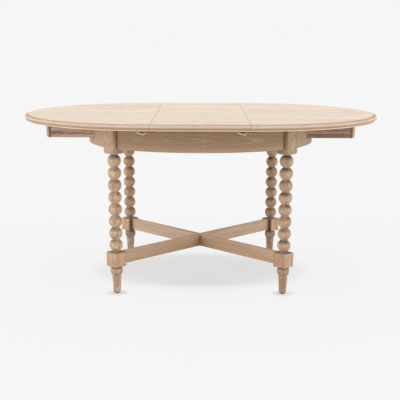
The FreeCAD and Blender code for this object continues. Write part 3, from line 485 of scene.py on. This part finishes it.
# Aprons. Four boards bent to the curve of the top and tenoned into the legs, waxed like them;
# their grain follows the bend and runs out slowly at the face, which draws flames on it.
apron_middle_height = 0.686
apron_set_back = 0.089
apron_grain_slope = 0.06
shaded_face_wood = (0.430, 0.280, 0.170, 1.0)
lit_lower_wood = (0.570, 0.370, 0.220, 1.0)
left_end_wood = (0.700, 0.500, 0.335, 1.0)
right_end_wood = (0.575, 0.460, 0.305, 1.0)
apron_pieces = {
    "long": ("X", "Y", ("front_apron", "rear_apron")),
    "end": ("Y", "X", ("left_apron", "right_apron")),
}
for name, (along, out, pieces) in apron_pieces.items():
    apron_wood, tree, surface = new_material(name + "_apron_wood")
    spot = axes(tree)
    height = minus(tree, spot["Z"], apron_middle_height)
    side = reckon(tree, "SIGN", spot[out])
    outward = plus(tree, times(tree, spot[out], side), apron_set_back)
    bend_radius = reckon(tree, "SQRT", plus(tree, times(tree, outward, outward),
                                            times(tree, spot[along], spot[along])))
    sloping = add_share(tree, spot[along], apron_grain_slope, bend_radius)
    # The long aprons are darker than the other pieces, partly as painted shade under the top's overhang, and
    # lighter towards the lower edge as painted light from the floor; all aprons get painted shade along their
    # top edge, under the top.
    if name == "long":
        sap_wood = blend(tree, below(tree, height, (-0.046, -0.018)), shaded_face_wood, lit_lower_wood)
    else:
        sap_wood = blend(tree, above(tree, spot["X"], (-0.1, 0.1)), left_end_wood, right_end_wood)
    waxed_wood(tree, surface, place_from(tree, spot[along], height, sloping), base_wood | {
        "Light wood": sap_wood, "Painted shade colour": painted_shade_brown,
        "Heart across": 0.004, "Heart depth": 0.588, "Ring width": 0.0068, "Rings": 0.16, "Streaks": 0.40,
        "Pores": 0.52, "Worn edges": 0.5, "Limed hollows": 0.10, "Painted hollow shade": 1.0,
        "Painted shade": above(tree, height, (0.024, 0.047), 0.0, 0.13), "Seed": side})
    finish_pieces(apron_wood, *pieces)


# Crossed stretcher. Two straight rails halved over each other and tenoned into the lower blocks,
# each with its grain along the rail, paler to the rear and with painted light on the top face.
crossing = (-0.02, 0.02)
rail_top_heights = (0.1845, 0.1857)
front_rail_wood = (0.650, 0.440, 0.288, 1.0)
rear_rail_wood = (0.725, 0.530, 0.380, 1.0)
lit_rail_top_wood = (0.900, 0.680, 0.490, 1.0)
for name, sign in (("front_left_to_rear_right", 1.0), ("front_right_to_rear_left", -1.0)):
    rail_wood, tree, surface = new_material(name + "_rail_wood")
    x, y, z = axes(tree)
    crossed = times(tree, y, sign)
    along = times(tree, plus(tree, x, crossed), sqrt(0.5))
    across = times(tree, minus(tree, x, crossed), sqrt(0.5))
    sap_wood = blend(tree, above(tree, y, crossing), front_rail_wood, rear_rail_wood)
    # Painted light: the top face is lighter.
    sap_wood = blend(tree, above(tree, z, rail_top_heights), sap_wood, lit_rail_top_wood)
    waxed_wood(tree, surface, place_from(tree, along, across, z), base_wood | {
        "Light wood": sap_wood,
        "Heart across": 0.050, "Heart depth": 0.235, "Ring width": 0.0060, "Rings": 0.22, "Streaks": 0.50,
        "Pores": 0.45, "Worn edges": 0.30, "Limed hollows": 0.15, "Painted hollow shade": 0.5, "Seed": 5.0 + sign})
    finish_pieces(rail_wood, name + "_stretcher")


# Sliding gear. Guide rails with tongues on two cross bearers, runners grooved over the tongues,
# stop blocks, battens, dowels and corner braces, all of plain reddish hardwood without wax.
gear_wood = {
    "Light wood": (0.660, 0.470, 0.355, 1.0), "Dark wood": (0.285, 0.165, 0.115, 1.0),
    "Lime": (0.52, 0.40, 0.31, 1.0), "Rubbed wood": (0.30, 0.18, 0.12, 1.0),
    "Heart across": 0.62, "Heart depth": 0.03, "Ring width": 0.007, "Rings": 0.45, "Streaks": 0.75,
    "Pores": 0.15, "Mottle": 0.22, "Worn edges": 0.4, "Limed hollows": 0.0,
}
# Lengthwise pieces on the left are lighter: painted light from the left.
left_lit_gear_wood = (0.950, 0.740, 0.580, 1.0)
gear_pieces = {
    "lengthwise": ("_runner", "_guide_rail", "_tongue", "_dowels"),
    "crosswise": ("_bearer", "_batten", "_stop_blocks"),
    "slanting": ("_brace",),
}
for name, endings in gear_pieces.items():
    plain_wood, tree, surface = new_material(name + "_gear_wood")
    x, y, z = axes(tree)
    looks = gear_wood | {"Seed": quarter_seed(tree, x, y)}
    if name == "lengthwise":
        place = place_from(tree, x, z, y)
        on_right = above(tree, x, crossing)
        looks["Light wood"] = blend(tree, on_right, left_lit_gear_wood, gear_wood["Light wood"])
    elif name == "crosswise":
        place = place_from(tree, y, z, x)
    else:
        wide_x = reckon(tree, "ABSOLUTE", x)
        wide_y = reckon(tree, "ABSOLUTE", y)
        place = place_from(tree, minus(tree, wide_x, wide_y), z, plus(tree, wide_x, wide_y))
    waxed_wood(tree, surface, place, looks, 0.62)
    finish_pieces(plain_wood, *[piece for piece in nodes if piece.endswith(endings)])


# End caps. Curved blocks of the base's own wood on the runners' outer ends; pushed in, they fill
# the notches in the end aprons. Their cut ends show darker.
cut_end = (0.200, 0.120, 0.075, 1.0)
cap_wood, tree, surface = new_material("end_cap_wood")
x, y, z = axes(tree)
height = minus(tree, z, apron_middle_height)
spot = place_from(tree, y, height, reckon(tree, "ABSOLUTE", x))
side_colour = waxed_wood(tree, surface, spot, base_wood | {
    "Light wood": (0.660, 0.455, 0.310, 1.0),
    "Heart across": 0.02, "Heart depth": 0.74, "Ring width": 0.008, "Rings": 0.4, "Streaks": 0.35,
    "Pores": 0.5, "Worn edges": 0.5, "Limed hollows": 0.2, "Seed": 9.0})
facing = node(tree, "ShaderNodeNewGeometry").outputs["Normal"]
facing_y = node(tree, "ShaderNodeSeparateXYZ", {0: facing}).outputs["Y"]
end_grain = above(tree, reckon(tree, "ABSOLUTE", facing_y), (0.80, 0.95), 0.0, 0.8)
feed(tree, surface["Base Color"], blend(tree, end_grain, side_colour, cut_end))
finish_pieces(cap_wood, *[piece for piece in nodes if piece.endswith("_end_cap")])


# Round halves and leaf. Boards glued edge to edge with their grain along the table, moulded round
# the rim and limed paler than the base, bare underneath; each board comes from its own place in the log.
top_height = 0.76
length_of_log = 9.0
boards, given, results = new_group("glued boards", [
    ("Place", "NodeSocketVector", None),
    ("Board width", "NodeSocketFloat", 0.1),
    ("Seed", "NodeSocketFloat", 0.0),
], [("Place", "NodeSocketVector"), ("Heart across", "NodeSocketFloat"), ("Heart depth", "NodeSocketFloat"),
    ("Tone", "NodeSocketFloat"), ("Joint", "NodeSocketFloat")])
spot = node(boards, "ShaderNodeSeparateXYZ", {0: given["Place"]}).outputs
count = reckon(boards, "DIVIDE", spot["Y"], given["Board width"])
number = plus(boards, reckon(boards, "FLOOR", count), given["Seed"])
chance = node(boards, "ShaderNodeTexWhiteNoise", {"W": number}, noise_dimensions="1D").outputs
pick = node(boards, "ShaderNodeSeparateColor", {0: chance["Color"]}).outputs
in_board = minus(boards, reckon(boards, "FRACT", count), 0.5)
board_x = plus(boards, spot["X"], times(boards, pick["Blue"], length_of_log))
board_y = times(boards, in_board, given["Board width"])
board_z = minus(boards, spot["Z"], top_height)
feed(boards, results["Place"], place_from(boards, board_x, board_y, board_z))
feed(boards, results["Heart across"], above(boards, pick["Red"], (0.0, 1.0), -0.05, 0.05))
feed(boards, results["Heart depth"], above(boards, pick["Green"], (0.0, 1.0), -0.16, -0.05))
feed(boards, results["Tone"], chance["Value"])
feed(boards, results["Joint"], above(boards, reckon(boards, "ABSOLUTE", in_board), (0.4955, 0.4995)))

top_wood = {
    "Light wood": (0.945, 0.840, 0.715, 1.0), "Dark wood": (0.670, 0.505, 0.380, 1.0),
    "Lime": (0.920, 0.845, 0.760, 1.0), "Blush": (0.880, 0.720, 0.550, 1.0),
    "Ring width": 0.0075, "Rings": 0.34, "Streaks": 0.42, "Pores": 0.40, "Mottle": 0.34,
}
board_width = 0.1025
dark_board = (0.62, 0.47, 0.36, 1.0)
glue_line = (0.42, 0.30, 0.22, 1.0)
seam_grime_and_shade = (0.36, 0.24, 0.17, 1.0)
rim_stain_and_shade = (0.600, 0.385, 0.250, 1.0)
quirk_shadow_line = (0.45, 0.30, 0.22, 1.0)
lit_bead = (1.000, 0.790, 0.565, 1.0)
lit_end_bead = (0.830, 0.715, 0.600, 1.0)
bare_wood = (0.660, 0.490, 0.350, 1.0)
bare_dark_wood = (0.360, 0.235, 0.150, 1.0)
rubbed_rim = (0.60, 0.42, 0.30, 1.0)

# Half the leaf's width, and the heights at which one part of the moulding passes into the next.
seam_from_middle = 0.2
seam_edge = (0.0006, 0.0022)
face_edge = (0.7588, 0.7597)
quirk_low = (0.7560, 0.7574)
cove_high = (0.7472, 0.7486)
bead_high = (0.7376, 0.7394)
bead_low = (0.7342, 0.7347)
for name, seed in (("left_top", 11.3), ("leaf", 23.7), ("right_top", 37.1)):
    panel_wood, tree, surface = new_material(name + "_wood")
    surface["Specular IOR Level"].default_value = 0.18
    x, y, z = axes(tree)
    spot = node(tree, "ShaderNodeTexCoord").outputs["Object"]
    glued = place_group(tree, boards, {"Place": spot, "Board width": board_width, "Seed": seed})
    grained = place_group(tree, grain, top_wood | {
        "Place": glued["Place"], "Heart across": glued["Heart across"], "Heart depth": glued["Heart depth"],
        "Seed": times(tree, glued["Tone"], 40.0)})
    face = blend(tree, times(tree, glued["Tone"], 0.16), grained["Color"], dark_board)
    face = blend(tree, times(tree, glued["Joint"], 0.35), face, glue_line)
    # Along the seams, grime and painted shade of the seam gap.
    from_seam = reckon(tree, "ABSOLUTE", minus(tree, reckon(tree, "ABSOLUTE", x), seam_from_middle))
    face = blend(tree, below(tree, from_seam, seam_edge, 0.0, 0.45), face, seam_grime_and_shade)
    rim = below(tree, z, face_edge)
    quirk = times(tree, rim, above(tree, z, quirk_low))
    cove = times(tree, below(tree, z, cove_high), above(tree, z, bead_high))
    underside = below(tree, z, bead_low)
    bead = times(tree, below(tree, z, bead_high), minus(tree, 1.0, underside))
    toward_end = above(tree, reckon(tree, "ABSOLUTE", x), (0.45, 0.72))
    # Round the rim a darker stain, deeper in the cove, where the extra darkening is painted shade.
    face = blend(tree, add_share(tree, cove, 0.38, times(tree, rim, 0.46)), face, rim_stain_and_shade)
    # A painted shadow line under the quirk's step.
    face = blend(tree, times(tree, quirk, 0.80), face, quirk_shadow_line)
    # Painted light on the bead, paler orange in the middle and greyer towards the ends.
    face = blend(tree, times(tree, bead, 0.90), face, blend(tree, toward_end, lit_bead, lit_end_bead))
    face = blend(tree, underside, face, blend(tree, grained["Darkness"], bare_wood, bare_dark_wood))
    rubbed_and_shaded = place_group(tree, rub_and_shade, {
        "Color": face, "Rubbed wood": rubbed_rim, "Worn edges": add_share(tree, bead, -0.45, 0.55),
        "Limed hollows": 0.0})
    dull = above(tree, grained["Darkness"], (0.0, 1.0), 0.70, 0.60)
    dress(tree, surface, rubbed_and_shaded["Color"], dull, grained["Height"], 0.5, 0.00025, rubbed_and_shaded["Normal"])
    finish_pieces(panel_wood, name + "_panel")


# Catches. Pressed levers on riveted pivots, hooked on headed studs under the seams. Bars, pivots,
# studs and screws are a near-black bronze that is partly painted shade, the screwed plates a
# browner bronze, and the folded finger tabs a bright pale brass that is partly a painted reflection.
shade_dark_bronze = (0.085, 0.060, 0.042, 1.0)
brown_bronze = (0.520, 0.370, 0.235, 1.0)
tab_high = (0.7298, 0.7304)
plate_low = (0.7322, 0.7326)
catch_finishes = {
    "pale_brass_and_reflection": {
        "clean": (1.00, 0.95, 0.74, 1.0), "aged": (0.95, 0.86, 0.62, 1.0), "metallic": 0.65,
        "pieces": [piece for piece in nodes if piece.endswith("_catch_lever")]},
    "shade_dark_bronze": {
        "clean": shade_dark_bronze, "aged": (0.045, 0.034, 0.026, 1.0), "metallic": 0.80,
        "pieces": [piece for piece in nodes
                   if piece.endswith(("_catch_plates", "_catch_screws")) or "keepers" in piece]},
}
for name, finish in catch_finishes.items():
    plated, tree, surface = new_material(name)
    x, y, z = axes(tree)
    place = place_from(tree, x, y, z)
    brushed = cloud(tree, place, (60.0, 2600.0, 2600.0), 3.0, 0.6)["Fac"]
    tarnished = above(tree, specks(tree, place, 130.0, 4.0), (0.42, 0.68), 0.0, 0.6)
    tab_colour = blend(tree, tarnished, finish["clean"], finish["aged"])
    # Above the tabs the near-black bronze, partly painted shade; the tabs pale, partly painted reflection.
    metal_colour = blend(tree, below(tree, z, tab_high), shade_dark_bronze, tab_colour)
    metal_colour = blend(tree, above(tree, z, plate_low), metal_colour, brown_bronze)
    surface["Metallic"].default_value = finish["metallic"]
    soft = node(tree, "ShaderNodeBevel", {"Radius": 0.0004}, samples=4).outputs[0]
    dress(tree, surface, metal_colour, above(tree, brushed, (0.3, 0.7), 0.30, 0.48),
          brushed, 0.25, 0.00006, soft)
    finish_pieces(plated, *finish["pieces"])


# Screws, hanger bolts and nuts. Steel with a slightly cloudy zinc plate; the screws hold the gear and
# the battens, the hanger bolts pull the corner braces to the legs.
blue_zinc = (0.60, 0.61, 0.63, 1.0)
pale_zinc = (0.78, 0.78, 0.76, 1.0)
zinc_pieces = [piece for piece in nodes
               if piece.startswith("hanger_bolt") or piece.endswith("_screws") and "catch" not in piece]
zinc, tree, surface = new_material("zinc_plate")
x, y, z = axes(tree)
cloudy = specks(tree, place_from(tree, x, y, z), 240.0, 4.0)
surface["Metallic"].default_value = 1.0
dress(tree, surface, blend(tree, cloudy, blue_zinc, pale_zinc),
      above(tree, cloudy, (0.3, 0.7), 0.28, 0.46), cloudy, 0.2, 0.00005)
finish_pieces(zinc, *zinc_pieces)
